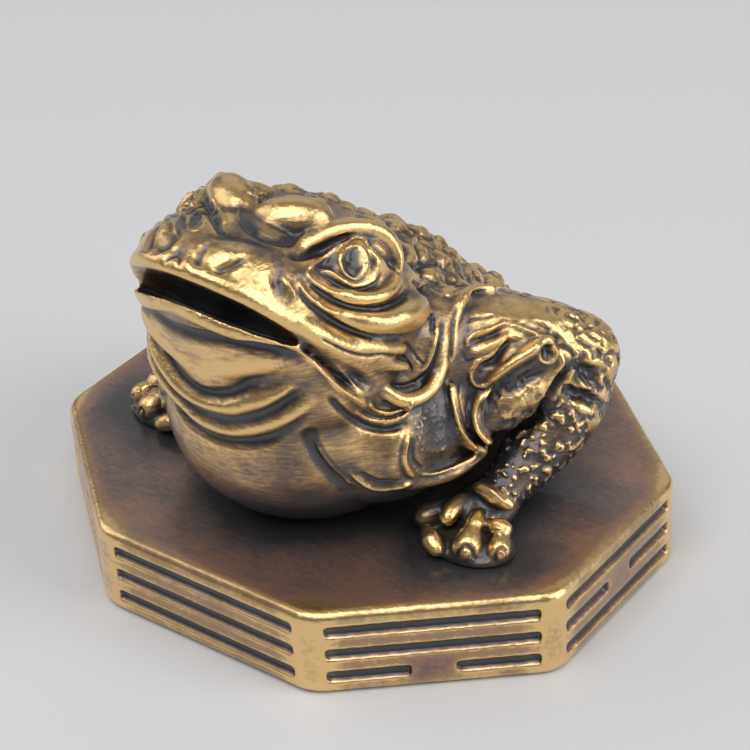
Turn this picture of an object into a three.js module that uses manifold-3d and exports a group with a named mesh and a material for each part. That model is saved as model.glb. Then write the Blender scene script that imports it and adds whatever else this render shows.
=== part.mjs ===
// A money toad: a small cast brass toad that looks up with its mouth open, on an
// octagonal plinth whose eight sides carry the eight trigrams as sunken bars.
// Millimetres, +Z up. The origin is under the middle of the plinth. The toad faces -Y
// and its left side is +X.

import * as THREE from 'three';
import { mergeVertices } from 'three/addons/utils/BufferGeometryUtils.js';
import Module from 'manifold-3d';

const wasm = await Module();
wasm.setup();

// Plinth: a regular octagon, stretched sideways
const PLINTH_WIDTH = 90;
const PLINTH_DEPTH = 77;
const PLINTH_HEIGHT = 14;
const CORNER_RADIUS = 5;
const RIM_RADIUS = 1.5;

// Trigram bars, sunk into the plinth's sides
const BAR_HEIGHT = 1.7;
const BAR_PITCH = 3.9;
const BAR_DEPTH = 0.8;
const BAR_SHARE = 0.86;
const BREAK_SHARE = 0.21;

// Figure
const TOAD_HEIGHT = 51.2;
const JOINT_GAP = 0.3;

// The pose below is drawn in millimetres for a figure this tall and follows TOAD_HEIGHT.
const DRAWN_HEIGHT = 51.2;

const BRASS = new THREE.MeshStandardMaterial({ color: 0xa57c38, roughness: 0.38, metalness: 1 });
const DARK_BRASS = new THREE.MeshStandardMaterial({ color: 0x6b4f2e, roughness: 0.45, metalness: 1 });

// Rows of each trigram from the top bar down, 1 for a whole bar and 0 for a broken one,
// starting under the toad's mouth and going round by its left side.
const TRIGRAMS = ['111', '110', '101', '100', '000', '001', '010', '011'];

const { degToRad, lerp, clamp } = THREE.MathUtils;

// Turns a closed three.js geometry into a solid that can be joined and cut.
function solidOf(geometry) {
  const bare = geometry.clone();
  bare.deleteAttribute('normal');
  bare.deleteAttribute('uv');
  const welded = mergeVertices(bare, 1e-4);
  const index = welded.index.array;
  const corners = [];
  for (let i = 0; i < index.length; i += 3) {
    const [a, b, c] = [index[i], index[i + 1], index[i + 2]];
    if (a !== b && b !== c && c !== a) corners.push(a, b, c);
  }
  return new wasm.Manifold(new wasm.Mesh({
    numProp: 3,
    vertProperties: welded.attributes.position.array,
    triVerts: Uint32Array.from(corners),
  }));
}

function geometryOf(solid) {
  const mesh = solid.getMesh();
  const geometry = new THREE.BufferGeometry();
  geometry.setAttribute('position', new THREE.BufferAttribute(mesh.vertProperties, 3));
  geometry.setIndex(new THREE.BufferAttribute(mesh.triVerts, 1));
  geometry.computeVertexNormals();
  return geometry;
}

function join(solids) {
  return solids.reduce((whole, solid) => whole.add(solid));
}

// A mass of clay: an ellipsoid whose front is tipped up by lift degrees, then turned by yaw.
function mass(centre, radii, { lift = 0, yaw = 0, around = 16, up = 10 } = {}) {
  const ball = new THREE.SphereGeometry(1, around, up);
  ball.rotateX(Math.PI / 2);
  ball.scale(...radii);
  ball.rotateX(degToRad(-lift));
  ball.rotateZ(degToRad(yaw));
  ball.translate(...centre);
  return solidOf(ball);
}

// A roll of clay with round ends: it runs through the points, with a radius at each.
function roll(points, radii, { around = 5, along = (points.length - 1) * 2, cap = 1 } = {}) {
  const curve = new THREE.CatmullRomCurve3(
    points.map((p) => new THREE.Vector3(...p)), false, 'centripetal');
  const { tangents, normals, binormals } = curve.computeFrenetFrames(along, false);
  const capsule = new THREE.CapsuleGeometry(1, 1, cap, around, along);
  const place = capsule.attributes.position;
  for (let i = 0; i < place.count; i++) {
    const share = clamp(place.getY(i) + 0.5, 0, 1);
    const beyond = place.getY(i) + 0.5 - share;
    const step = share * (radii.length - 1);
    const whole = Math.min(Math.floor(step), radii.length - 2);
    const radius = lerp(radii[whole], radii[whole + 1], step - whole);
    const station = Math.round(share * along);
    const at = curve.getPointAt(share)
      .addScaledVector(binormals[station], place.getX(i) * radius)
      .addScaledVector(normals[station], place.getZ(i) * radius)
      .addScaledVector(tangents[station], beyond * radius);
    place.setXYZ(i, at.x, at.y, at.z);
  }
  return solidOf(capsule);
}

function flip(point) {
  return [-point[0], point[1], point[2]];
}

// The same roll on the toad's left and right.
function rolls(points, radii, detail) {
  return [roll(points, radii, detail), roll(points.map(flip), radii, detail)];
}

function masses(centre, radii, { yaw = 0, ...detail } = {}) {
  return [mass(centre, radii, { yaw, ...detail }), mass(flip(centre), radii, { yaw: -yaw, ...detail })];
}

// One roll across the middle, drawn from the middle to the toad's left.
function arch(points, radii, detail) {
  const right = points.slice(1).reverse().map(flip);
  const rightRadii = radii.slice(1).reverse();
  return roll([...right, ...points], [...rightRadii, ...radii], detail);
}

const SMALL = { around: 10, up: 6 };
const TINY = { around: 5, up: 3 };

// Heights in the figure are above the plinth's top.
function body() {
  return [
    mass([0, -9, 16.5], [22.5, 24, 20], { around: 20, up: 12 }),
    mass([0, -18, 27.5], [18, 15.5, 14], { around: 14, up: 10 }),
    mass([0, -20, 29.5], [17, 20, 10], { lift: 45, around: 14, up: 8 }),
    mass([0, -21, 37.5], [15.5, 19, 10], { lift: 33 }),
    mass([0, -13.5, 32.6], [19.5, 16, 13.5], { lift: 15 }),
    mass([0, 3, 21.5], [19, 22, 14.5], { lift: 38 }),
    mass([0, 17, 9], [17, 15, 10.5], { around: 12, up: 8 }),
    ...masses([13, -9, 14], [11.5, 15.5, 11.5], SMALL),
    ...masses([15.2, -5, 24.6], [7.4, 9, 8.2], SMALL),
    arch([[0, -31.5, 24.6], [6, -30.8, 26.3], [11, -28.5, 30], [14.5, -24, 33]], [2.6, 2.6, 2.4, 1.5]),
    arch([[0, -31.3, 20.4], [7, -30.3, 21.8], [12, -27.4, 25], [15.5, -22.8, 28.5]], [2, 1.9, 1.7, 1.2]),
  ];
}

function mouthCut() {
  return join([
    mass([0, -34.6, 42.6], [22, 13, 1.6], { lift: 46 }),
    ...rolls([[13.5, -29.5, 36.5], [17, -24, 30.5], [20, -18, 25]], [0.4, 0.6, 1.4]),
  ]);
}

function face() {
  return [
    // lips
    arch([[0, -36, 47.9], [4.5, -35.5, 47.4], [9, -33.2, 44.7], [13, -28.6, 39.4], [16, -24, 35],
      [18.2, -17.5, 30]], [1.5, 1.5, 1.5, 1.5, 1.6, 1.6], { along: 14 }),
    arch([[0, -36.2, 43], [4.5, -35.5, 41.5], [9, -32.6, 39], [13, -28.2, 34.2], [15.5, -24, 29.2],
      [17.5, -20, 24]], [1.3, 1.3, 1.3, 1.3, 1.2, 1], { along: 14 }),
    // forehead bumps, brows, eyes
    ...masses([5.6, -17.2, 46.6], [6.2, 4, 4.6], { yaw: 36, ...SMALL }),
    ...rolls([[9, -25, 46.5], [10, -20.5, 47.3], [11.5, -15, 47.2], [13.5, -10.5, 45], [16, -9.5, 42.5],
      [17.5, -10.8, 40.5]], [1, 1.4, 1.6, 1.6, 1.3, 0.9], { along: 8 }),
    ...masses([13.2, -17.4, 42.4], [3.8, 4.6, 3.9], SMALL),
    // nostrils
    ...rolls([[3.8, -34.8, 48], [5.4, -32, 49], [6.2, -28.5, 49]], [1.2, 2, 1.3], { along: 2 }),
    // folds under the eye and over the lip
    ...rolls([[12, -25, 45], [14.2, -23.2, 42.4], [16.2, -20.2, 39.8], [18.2, -16, 39.2],
      [18, -12, 40.5]], [0.7, 0.9, 1, 1.1, 0.8], { along: 5 }),
    ...rolls([[13, -26.2, 43.5], [15, -23, 38.7], [17.4, -17.5, 35.6], [18.4, -11.5, 34.6],
      [18, -7, 36.8]], [0.9, 1.6, 2.7, 3, 1.8], { along: 6 }),
  ];
}

function flanks() {
  return [
    // the rim of loose skin from the shoulder down to the corner of the mouth
    ...rolls([[21, 5, 30], [19.8, 0.5, 31], [20.3, -4, 29.5], [21.2, -7.5, 25.5], [21.8, -12, 22.8],
      [20.5, -16, 23], [18.6, -17.8, 24.8]], [0.9, 1.1, 1.1, 1.1, 1.2, 1.3, 1.4], { along: 9 }),
    // the sleeve's front edges
    ...rolls([[28.8, 3.5, 23], [26.5, -0.8, 21.5], [24.8, -3.8, 18.3], [25, -5, 14.5],
      [26.6, -4, 11.5]], [1, 1.3, 1.3, 1.1, 0.8], { along: 5 }),
    ...rolls([[22.8, -8, 21.5], [24.2, -9.3, 17.5], [25, -8.5, 13.5], [26.3, -6, 10.8]],
      [0.9, 1, 1, 0.8], { along: 4 }),
    // the hanging lip of the flank
    ...rolls([[20.6, -18, 18.5], [20.2, -19.4, 15], [20.6, -18.4, 11.5], [22.5, -14.5, 9.8],
      [24.6, -9.5, 9.3], [26, -5.5, 10.3]], [0.9, 1.4, 1.4, 1.3, 1.1, 0.8], { along: 6 }),
  ];
}

function arms() {
  return [
    ...rolls([[19, 1, 23.5], [25.5, 8, 21.5], [29.6, 13, 18]], [7.8, 7, 6.4], { around: 10, cap: 2 }),
    ...masses([25.2, 2.5, 15.8], [4.2, 5.5, 4.6], { lift: 20, ...SMALL }),
    ...rolls([[29.6, 13, 17], [30.4, 9, 11], [28.6, 1.5, 5.5], [28, -3.5, 3.5]], [6, 5.4, 4.4, 3.4],
      { around: 8, along: 4 }),
  ];
}

// A front foot, from the knuckles to the toe tips. The right one stands a little further back.
function foot(side, back) {
  const put = ([x, y, z]) => [side * x, y + back, z];
  const toe = (points, radii) => roll(points.map(put), radii, { around: 6, along: 2, cap: 2 });
  return [
    mass(put([27.8, -7.5, 2.6]), [5.6, 6.5, 3.6], SMALL),
    mass(put([29.6, -2.2, 6.2]), [3.6, 2.2, 2], { around: 10, up: 6 }),
    toe([[22.6, -7.5, 3], [22, -11, 2.4], [21.8, -13.6, 1.8]], [1.6, 1.7, 1.6]),
    toe([[25.4, -8.5, 4.6], [25.8, -12.8, 3.6], [26.2, -17, 2]], [1.9, 1.7, 2.2]),
    toe([[28.6, -8, 5], [30, -12, 3.8], [31, -15.6, 2.3]], [2.1, 1.8, 2.5]),
    toe([[31, -6.5, 4.6], [32.8, -10, 3.4], [34.2, -13, 2.1]], [2, 1.6, 2.2]),
  ];
}

// The toad's one hind leg, under the middle of its back.
function hindLeg() {
  const toe = (points) => roll(points, [2, 1.7, 1.9], { around: 6, along: 3, cap: 2 });
  return [
    roll([[0, 20, 13], [0, 27, 9], [0, 30, 3.5]], [7, 5.5, 4], { around: 10 }),
    toe([[-2, 30, 4], [-4.2, 32.6, 3], [-6.4, 34.4, 1.9]]),
    toe([[0, 30.5, 4.4], [0, 33.2, 3.2], [0, 35.6, 1.9]]),
    toe([[2, 30, 4], [4.2, 32.6, 3], [6.4, 34.4, 1.9]]),
    ...masses([15, 18, 8], [7, 10, 7.5], { around: 9, up: 6 }),
  ];
}

// Warts on a mass of clay: each stands where a direction from the mass's centre leaves it.
function wartsOn(centre, radii, lift, directions, size) {
  const turn = new THREE.Matrix4().makeRotationX(degToRad(-lift));
  return directions.flatMap((direction) => {
    const at = new THREE.Vector3(...direction).normalize().multiply(new THREE.Vector3(...radii))
      .applyMatrix4(turn).add(new THREE.Vector3(...centre));
    return masses(at.toArray(), [size, size, size], TINY);
  });
}

function warts() {
  const back = [];
  for (let row = 0; row < 3; row++) {
    for (let i = 0; i < 3; i++) {
      const across = 0.16 + 0.26 * i + 0.12 * (row % 2);
      back.push([across, -0.1 + row * 0.3, 0.75 - 0.06 * row]);
    }
  }
  return [
    ...wartsOn([0, 3, 21.5], [19, 22, 14.5], 38, back, 1.5),
    ...wartsOn([0, 3, 21.5], [19, 22, 14.5], 38,
      [[0.75, -0.35, 0.6], [0.9, -0.2, 0.45]], 1.9),
    ...wartsOn([29.6, 13, 18], [6.4, 6.4, 6.4], 0,
      [[1, 0.1, 0.3], [0.6, 0.7, 0.5], [0.5, -0.1, 0.9]], 1.3),
    ...wartsOn([30.2, 8, 10], [5.2, 5.2, 5.2], 0,
      [[1, -0.2, 0.2], [0.6, -0.8, 0.1]], 1.2),
  ];
}

function toadSolid() {
  const clay = join([...body(), ...face(), ...flanks(), ...arms(), ...foot(1, 0), ...foot(-1, 3),
    ...hindLeg(), ...warts()]);
  const below = new THREE.BoxGeometry(200, 200, 40);
  below.translate(0, 0, -20);
  return clay.subtract(mouthCut()).subtract(solidOf(below));
}

// Corner points of the octagon, from the front side's right corner round by the toad's left.
function plinthCorners() {
  const share = Math.tan(Math.PI / 8);
  const corners = [];
  for (const [x, y] of [[-share, -1], [share, -1], [1, -share], [1, share], [share, 1], [-share, 1],
    [-1, share], [-1, -share]]) {
    corners.push(new THREE.Vector2(x * PLINTH_WIDTH / 2, y * PLINTH_DEPTH / 2));
  }
  return corners;
}

function plinthBlock(corners) {
  const shape = new THREE.Shape();
  corners.forEach((corner, i) => {
    const toBefore = corners[(i + 7) % 8].clone().sub(corner).setLength(CORNER_RADIUS / 2);
    const toAfter = corners[(i + 1) % 8].clone().sub(corner).setLength(CORNER_RADIUS / 2);
    const start = corner.clone().add(toBefore);
    const end = corner.clone().add(toAfter);
    if (i === 0) shape.moveTo(start.x, start.y);
    else shape.lineTo(start.x, start.y);
    shape.quadraticCurveTo(corner.x, corner.y, end.x, end.y);
  });
  const block = new THREE.ExtrudeGeometry(shape, {
    depth: PLINTH_HEIGHT, bevelEnabled: true, bevelThickness: RIM_RADIUS, bevelSize: RIM_RADIUS,
    bevelOffset: -RIM_RADIUS, bevelSegments: 2, curveSegments: 2,
  });
  block.translate(0, 0, -RIM_RADIUS);
  const below = new THREE.BoxGeometry(PLINTH_WIDTH * 2, PLINTH_DEPTH * 2, PLINTH_HEIGHT);
  below.translate(0, 0, -PLINTH_HEIGHT / 2);
  return solidOf(block).subtract(solidOf(below));
}

function barCuts(corners) {
  const cuts = [];
  TRIGRAMS.forEach((rows, side) => {
    const from = corners[side];
    const to = corners[(side + 1) % 8];
    const run = to.clone().sub(from);
    const middle = from.clone().add(to).multiplyScalar(0.5);
    const length = run.length() * BAR_SHARE;
    const gap = length * BREAK_SHARE;
    const cut = (offset, barLength, height) => {
      const box = new THREE.BoxGeometry(barLength, BAR_DEPTH * 2, BAR_HEIGHT);
      box.rotateZ(run.angle());
      const place = middle.clone().addScaledVector(run, offset / run.length());
      box.translate(place.x, place.y, height);
      cuts.push(solidOf(box));
    };
    [...rows].forEach((row, k) => {
      const height = PLINTH_HEIGHT / 2 + (1 - k) * BAR_PITCH;
      if (row === '1') {
        cut(0, length, height);
      } else {
        const piece = (length - gap) / 2;
        cut(-(gap + piece) / 2, piece, height);
        cut((gap + piece) / 2, piece, height);
      }
    });
  });
  return join(cuts);
}

const corners = plinthCorners();
const plinth = new THREE.Mesh(
  geometryOf(plinthBlock(corners).subtract(barCuts(corners))), DARK_BRASS);
plinth.name = 'plinth';

const figure = geometryOf(toadSolid());
const grow = TOAD_HEIGHT / DRAWN_HEIGHT;
figure.scale(grow, grow, grow);
figure.translate(0, 0, PLINTH_HEIGHT + JOINT_GAP);
const toad = new THREE.Mesh(figure, BRASS);
toad.name = 'toad';

const group = new THREE.Group();
group.add(plinth, toad);

export default group;
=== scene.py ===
# %% [markdown]
# # A brass money toad on an eight-sided plinth
#
# The real object is a small cast brass figure. It was darkened with a chemical patina and
# then buffed, so that brass shows on everything that stands proud and the hollows stay
# brown and black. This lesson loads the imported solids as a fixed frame, models the toad in
# clay-like steps, models the plinth, and gives both a patina that follows their own shape.

import math

import bmesh
import bpy
import numpy as np
from mathutils import Matrix, Vector, noise
from mathutils.bvhtree import BVHTree
from mathutils.kdtree import KDTree


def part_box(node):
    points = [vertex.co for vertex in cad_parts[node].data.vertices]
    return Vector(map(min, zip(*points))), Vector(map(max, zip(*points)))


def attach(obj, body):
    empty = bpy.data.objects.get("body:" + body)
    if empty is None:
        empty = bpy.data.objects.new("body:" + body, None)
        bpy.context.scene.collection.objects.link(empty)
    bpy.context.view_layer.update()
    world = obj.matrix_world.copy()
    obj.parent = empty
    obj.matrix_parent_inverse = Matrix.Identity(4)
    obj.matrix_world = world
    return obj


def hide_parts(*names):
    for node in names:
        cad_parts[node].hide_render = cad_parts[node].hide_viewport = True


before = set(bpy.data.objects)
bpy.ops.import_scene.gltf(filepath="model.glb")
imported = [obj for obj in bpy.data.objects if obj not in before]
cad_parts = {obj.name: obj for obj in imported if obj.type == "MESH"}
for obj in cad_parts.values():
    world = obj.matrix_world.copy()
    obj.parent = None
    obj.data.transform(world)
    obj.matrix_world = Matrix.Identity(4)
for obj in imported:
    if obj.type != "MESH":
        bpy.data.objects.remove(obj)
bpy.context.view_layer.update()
print("frame loaded:", sorted(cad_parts))

# %% [markdown]
# The toad is drawn in millimetres for a figure 51.2 mm tall that stands on z = 0, faces -Y
# and has its left side on +X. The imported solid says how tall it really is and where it
# stands, so every point is drawn first and placed at the very end.

# %% Size and place of the figure
DRAWN_HEIGHT = 51.2
toad_low, toad_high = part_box("toad")
toad_scale = (toad_high.z - toad_low.z) / DRAWN_HEIGHT
plinth_low, plinth_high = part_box("plinth")
print("one drawn millimetre is", round(toad_scale * 1000, 4), "mm")

# %% [markdown]
# The camera stands where the photograph was taken from. It comes before the modelling, since
# the finer lines of the figure are drawn over the photograph, in its pixels, and are thrown
# onto the skin along the camera's lines of sight.

# %% Camera
PHOTO_SIZE = 750
SENSOR = 36.0
LENS = 114.28
CAMERA_AT = Vector((0.181363, -0.229762, 0.218106))
CAMERA_RIGHT = Vector((0.80807, 0.58721, -0.04703))
CAMERA_DOWN = Vector((0.29222, -0.46889, -0.83352))
CAMERA_AHEAD = Vector((-0.51150, 0.65980, -0.55049))

camera_data = bpy.data.cameras.new("camera")
camera_data.sensor_width = SENSOR
camera_data.lens = LENS
camera = bpy.data.objects.new("camera", camera_data)
bpy.context.scene.collection.objects.link(camera)
bpy.context.scene.camera = camera
camera_turn = Matrix((CAMERA_RIGHT, -CAMERA_DOWN, -CAMERA_AHEAD)).transposed().to_4x4()
camera.matrix_world = Matrix.Translation(CAMERA_AT) @ camera_turn


def drawn(place):
    """A place in the frame, in the millimetres that the figure is drawn in."""
    return (place - Vector((0, 0, toad_low.z))) / toad_scale


def sight(pixel):
    """Where the camera is and which way it looks through a pixel, in drawn millimetres."""
    across, down = ((p - PHOTO_SIZE / 2) / PHOTO_SIZE * SENSOR / LENS for p in pixel)
    way = CAMERA_AHEAD + across * CAMERA_RIGHT + down * CAMERA_DOWN
    return drawn(CAMERA_AT), way.normalized()


print("camera", round(CAMERA_AT.length, 3), "m from the origin")

# %% [markdown]
# A sculptor starts with balls and rolls of clay. Here a ball is an icosphere, stretched and
# tipped by one matrix. A roll is a smooth line with a round bevel whose radius changes along
# it. They may overlap as they like, because a voxel remesh turns the heap into one skin.

# %% Balls and rolls of clay
def smooth_line(points, values, spacing):
    """Points at an even spacing on a smooth curve through the given ones, with a value at each."""
    points = np.array(points, float)
    steps = np.linalg.norm(np.diff(points, axis=0), axis=1)
    knots = np.concatenate(([0], np.cumsum(np.sqrt(steps))))
    slopes = np.gradient(points, knots, axis=0)
    fine = np.linspace(0, knots[-1], 24 * len(points))
    i = np.clip(np.searchsorted(knots, fine, side="right") - 1, 0, len(knots) - 2)
    span = (knots[i + 1] - knots[i])[:, None]
    t = (fine - knots[i])[:, None] / span
    curve = ((2 * t**3 - 3 * t**2 + 1) * points[i] + (t**3 - 2 * t**2 + t) * span * slopes[i]
             + (3 * t**2 - 2 * t**3) * points[i + 1] + (t**3 - t**2) * span * slopes[i + 1])
    run = np.concatenate(([0], np.cumsum(np.linalg.norm(np.diff(curve, axis=0), axis=1))))
    even = np.linspace(0, run[-1], max(2, round(run[-1] / spacing) + 1))
    at = np.array([np.interp(even, run, curve[:, k]) for k in range(3)]).T
    values = np.interp(np.interp(even, run, fine), knots, np.broadcast_to(values, len(points)))
    return at, values


def other_side(point):
    return (-point[0], point[1], point[2])


def stretched_ball(heap, centre, radii, lift, yaw, fineness):
    """Adds a ball whose front is tipped up by lift and which is turned by yaw, in degrees."""
    turn = Matrix.Rotation(math.radians(yaw), 4, "Z") @ Matrix.Rotation(math.radians(-lift), 4, "X")
    place = Matrix.Translation(centre) @ turn @ Matrix.Diagonal((*radii, 1))
    bmesh.ops.create_icosphere(heap, subdivisions=fineness, radius=1, matrix=place)


class Clay:
    """A heap of balls and rolls of clay that waits to become one skin."""

    def __init__(self):
        self.balls = bmesh.new()
        self.lines = bpy.data.curves.new("rolls", "CURVE")
        self.lines.dimensions = "3D"
        self.lines.bevel_depth = 1
        self.lines.bevel_resolution = 4
        self.lines.use_fill_caps = True

    def ball(self, centre, radii, lift=0.0, yaw=0.0, fineness=4):
        stretched_ball(self.balls, centre, radii, lift, yaw, fineness)

    def balls_each_side(self, centre, radii, lift=0.0, yaw=0.0, fineness=3):
        self.ball(centre, radii, lift, yaw, fineness)
        self.ball(other_side(centre), radii, lift, -yaw, fineness)

    def roll(self, points, radii):
        """A roll with round ends through the points, with a radius at each."""
        at, radius = smooth_line(points, radii, 0.4 * float(np.mean(radii)))
        angle = np.array([[0.5], [1.0], [1.5]])
        first, last = at[0] - at[1], at[-1] - at[-2]
        start = at[0] + first / np.linalg.norm(first) * radius[0] * np.sin(angle[::-1])
        end = at[-1] + last / np.linalg.norm(last) * radius[-1] * np.sin(angle)
        at = np.concatenate((start, at, end))
        radius = np.concatenate((radius[0] * np.cos(angle[::-1, 0]), radius,
                                 radius[-1] * np.cos(angle[:, 0])))
        spline = self.lines.splines.new("POLY")
        spline.points.add(len(at) - 1)
        spline.points.foreach_set("co", np.column_stack((at, np.ones(len(at)))).ravel())
        spline.points.foreach_set("radius", radius)

    def rolls_each_side(self, points, radii):
        self.roll(points, radii)
        self.roll([other_side(p) for p in points], radii)

    def arch(self, points, radii):
        """One roll across the middle, drawn from the middle to the toad's left."""
        self.roll([other_side(p) for p in points[:0:-1]] + points, radii[:0:-1] + radii)

    def skin(self, name, voxel, rounds, onto=None):
        """Joins the heap, and the piece it lies on, into one smooth skin."""
        line_object = bpy.data.objects.new("rolls", self.lines)
        bpy.context.scene.collection.objects.link(line_object)
        shown = line_object.evaluated_get(bpy.context.evaluated_depsgraph_get())
        self.balls.from_mesh(bpy.data.meshes.new_from_object(shown))
        bpy.data.objects.remove(line_object)
        if onto:
            self.balls.from_mesh(onto.data)
            bpy.data.objects.remove(onto)
        return one_skin(mesh_object(self.balls, name), voxel, rounds)


def mesh_object(bm, name):
    mesh = bpy.data.meshes.new(name)
    bm.to_mesh(mesh)
    bm.free()
    made = bpy.data.objects.new(name, mesh)
    bpy.context.scene.collection.objects.link(made)
    return made


def bake_modifiers(piece):
    """Replaces the object's mesh by what its modifiers make of it."""
    shown = piece.evaluated_get(bpy.context.evaluated_depsgraph_get())
    piece.data = bpy.data.meshes.new_from_object(shown)
    piece.modifiers.clear()
    return piece


def smoothed(piece, rounds):
    """Smooths a skin, as a wet thumb would, and bakes its modifiers."""
    thumb = piece.modifiers.new("thumb", "SMOOTH")
    thumb.factor = 0.5
    thumb.iterations = rounds
    return bake_modifiers(piece)


def one_skin(piece, voxel, rounds):
    """Joins everything in the mesh into one skin, then smooths it."""
    remesh = piece.modifiers.new("one skin", "REMESH")
    remesh.mode = "VOXEL"
    remesh.voxel_size = voxel
    return smoothed(piece, rounds)


def cut_away(piece, cutter):
    """Cuts one closed mesh out of another and deletes the cutter."""
    cut = piece.modifiers.new("cut", "BOOLEAN")
    cut.operation = "DIFFERENCE"
    cut.solver = "MANIFOLD"
    cut.object = cutter
    bake_modifiers(piece)
    bpy.data.objects.remove(cutter)
    return piece


print("clay helpers are ready")

# %% [markdown]
# The body is a few large masses: a round belly, a throat that swells under a wide wedge of
# a head, a sloping back and a rump. They are smoothed hard, so that no crease is left where
# they meet.

# %% The large masses
MASS_VOXEL, MASS_ROUNDS = 0.5, 14

clay = Clay()
clay.ball((0, -9, 16.5), (21, 23.6, 20), fineness=5)
clay.ball((0, -18, 27.5), (19, 15.8, 14))
clay.ball((0, -20, 29.5), (17, 20, 10), lift=45)
clay.ball((0, -21, 37.5), (15.5, 19, 10), lift=33)
clay.ball((0, -13.5, 32.6), (19.5, 16, 13.5), lift=15)
clay.ball((0, 2.8, 20.2), (18.3, 21.6, 14.1), lift=38, fineness=5)
clay.ball((0, 17, 9), (17, 15, 10.5))
clay.balls_each_side((13, -9, 14), (11.5, 15.5, 11.5), fineness=4)
clay.balls_each_side((15.2, -5, 24.6), (7.4, 9, 8.2))
clay.balls_each_side((15, 18, 8), (7, 10, 7.5))
clay.balls_each_side((12.3, -16.6, 41), (4, 6.6, 4.7), yaw=-21)
clay.rolls_each_side([(19, 1, 22.9), (25.5, 8, 20.4), (29.6, 13, 17.4)], [7.8, 7, 6.4])
clay.rolls_each_side([(28.5, 8, 18.5), (26.4, 3.5, 17), (25, -1.5, 14.2)], [5, 4.8, 3.4])
clay.rolls_each_side([(29.6, 13, 17), (30.4, 9, 11), (28.6, 1.5, 5.5), (28, -3.5, 3.5)],
                     [6, 5.4, 4.4, 3.4])
clay.roll([(0, 20, 11.5), (0, 27, 6.5), (0, 30, 3)], [6.5, 4.8, 3.8])
toad = clay.skin("toad_figure", MASS_VOXEL, MASS_ROUNDS)
print("large masses:", len(toad.data.vertices), "vertices")

# %% [markdown]
# On top of them lie the rolls that give the face its character: lips, brows, eyeballs,
# forehead bumps, nostrils, folds, the collar of loose skin and the sleeve of the arm.

# %% Rolls and small masses
clay = Clay()
# lips
clay.arch([(0, -36, 47.9), (4.5, -35.5, 47.4), (9, -33.2, 44.7), (13, -28.6, 39.4),
           (16, -24, 35), (18.2, -17.5, 30)], [1.5, 1.5, 1.5, 1.5, 1.6, 1.6])
clay.arch([(0, -36.4, 42.4), (4.5, -35.8, 41.2), (8, -33.9, 39.6), (12, -30.6, 37.5),
           (14, -27.8, 34.8), (15.3, -25.4, 31.6), (16.6, -22.8, 28), (17.6, -20.3, 24.5)],
          [1.3, 1.3, 1.3, 1.2, 1.1, 1, 1, 0.9])
clay.rolls_each_side([(13.7, -28.7, 40.1), (14.7, -25.9, 37.7), (15.8, -23.1, 35.4),
                      (17.4, -20.8, 33.5), (18.6, -18.2, 32), (19.4, -15, 30.6)],
                     [0.9, 1.2, 1.3, 1.3, 1.3, 1])
clay.rolls_each_side([(15.2, -26.5, 36.1), (16.2, -24.7, 34), (17, -22.5, 31.9),
                      (17.9, -20.1, 30.2), (18.9, -17.3, 29), (19.6, -14.3, 27.2)],
                     [0.6, 0.8, 0.9, 0.9, 0.9, 0.7])
# forehead bumps, brows, nostrils
clay.balls_each_side((5, -18.4, 47.8), (5.8, 3.4, 3.2), yaw=36)
clay.roll([(-6, -17, 48), (-5.2, -13.3, 46.2), (-4.4, -10.5, 44.6)], [2.2, 1.8, 1.3])
clay.rolls_each_side([(8.5, -23.2, 46.7), (9.3, -20.1, 46.9), (10.3, -16.6, 46.9),
                      (11.5, -13.6, 46.3), (13, -11.2, 45.2), (14.6, -9.8, 43.4),
                      (15.7, -9.6, 41.4), (16.4, -10.2, 39.6)],
                     [0.8, 1.1, 1.2, 1.25, 1.25, 1.15, 0.9, 0.6])
clay.rolls_each_side([(7.9, -22.6, 45.5), (8.3, -19.6, 45.3), (8.9, -16.1, 45.1),
                      (10.1, -13.1, 44.7), (11.9, -10.6, 43.1), (13.5, -9, 41.1)],
                     [1.5, 2, 2.2, 2.2, 2.2, 2])
clay.rolls_each_side([(4.2, -34.2, 47.6), (5.6, -31.6, 48.3), (6.6, -28.8, 48.3)], [1, 1.5, 1.1])
# bag under the eye, cheek
clay.rolls_each_side([(13.2, -25, 44.3), (14.2, -23.7, 42.6), (14.9, -21.9, 41.1),
                      (15.6, -20, 39.8), (16.5, -18.1, 39), (17.3, -16.1, 38.5),
                      (17.5, -13.9, 38.5), (17.1, -11.8, 38.9)],
                     [0.5, 0.8, 1, 1.2, 1.2, 1.1, 1, 0.8])
clay.rolls_each_side([(14.5, -25.7, 41.6), (15.1, -23.7, 39.7), (15.8, -21.6, 37.8),
                      (17, -20, 36.7), (18.2, -17.9, 35.6), (18.9, -15.1, 34.9),
                      (19, -12, 34.2), (18.4, -9.4, 33.6)],
                     [0.5, 0.8, 1.1, 1.4, 1.8, 2.1, 2.3, 2])
# collar of loose skin
clay.rolls_each_side([(21, 5, 30), (19.8, 0.5, 31), (20.3, -4, 29.5), (21.2, -7.5, 25.5),
                      (21.8, -12, 22.8), (20.5, -16, 23), (18.6, -17.8, 24.8)],
                     [0.9, 1, 1, 1, 1.1, 1.1, 1])
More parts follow.
